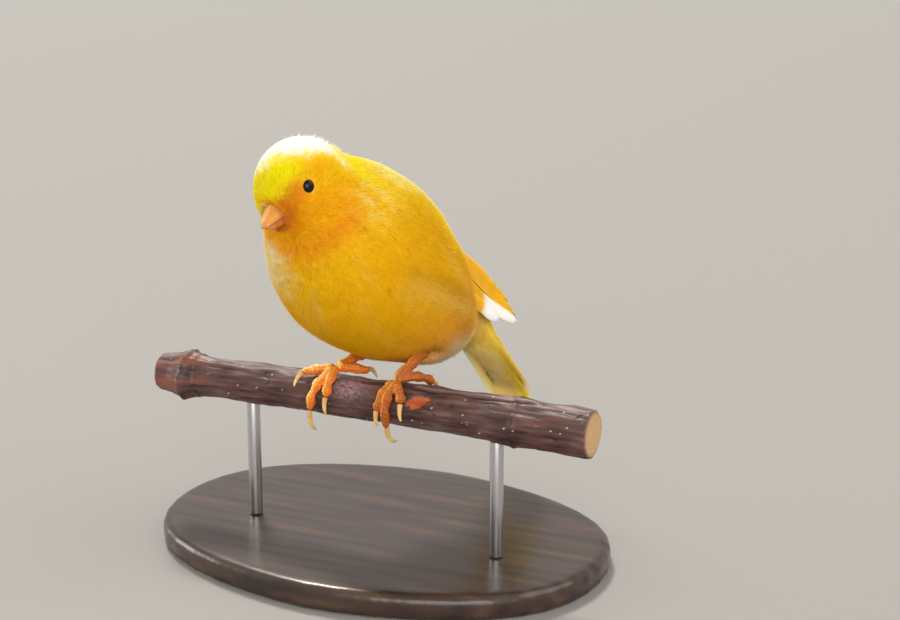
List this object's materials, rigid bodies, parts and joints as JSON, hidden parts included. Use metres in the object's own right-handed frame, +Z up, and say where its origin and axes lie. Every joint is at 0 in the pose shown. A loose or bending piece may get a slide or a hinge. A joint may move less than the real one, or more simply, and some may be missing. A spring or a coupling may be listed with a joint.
{
  "type": "canary",
  "caption": "Life-size yellow canary gripping a cut length of branch, held over an oval base by two short rods; a still museum model.",
  "frame": {"origin": "middle of the underside of the stand's oval base", "axes": "+Z up; +X along the branch, towards the bird's left foot; -Y the way the bird faces, turned 17 degrees towards -X"},
  "size_m": [0.113, 0.0927, 0.1042],
  "materials": {
    "plumage": "soft overlapping body feathers, deep yellow on the breast, orange about the face, near white on the crown",
    "flight_feathers": "smooth vanes, yellow outer webs and white inner webs",
    "bill": "horn, pinkish orange, satin",
    "feet": "scaled skin, orange, satin",
    "claw": "pale yellow horn",
    "eye": "black, wet gloss",
    "bark": "purple brown bark with grey skin, cracks and pale specks",
    "base": "dark stained wood, satin lacquer",
    "rod": "brushed"
  },
  "bodies": {
    "root": {"perch_branch": "bark", "stand_base": "base", "stand_rod_left": "rod", "stand_rod_right": "rod", "leg_left": "feet", "toe_left_inner": "feet", "claw_left_inner": "claw", "toe_left_middle": "feet", "claw_left_middle": "claw", "toe_left_outer": "feet", "claw_left_outer": "claw", "toe_left_hind": "feet", "claw_left_hind": "claw", "leg_right": "feet", "toe_right_outer": "feet", "claw_right_outer": "claw", "toe_right_middle": "feet", "claw_right_middle": "claw", "toe_right_inner": "feet", "claw_right_inner": "claw", "toe_right_hind": "feet", "claw_right_hind": "claw", "wing_left": "flight_feathers", "eye_left": "eye", "wing_right": "flight_feathers", "eye_right": "eye", "tail": "flight_feathers", "bill_upper": "bill", "bill_lower": "bill", "head": "plumage", "neck": "plumage", "trunk": "plumage"}
  },
  "joints": []
}
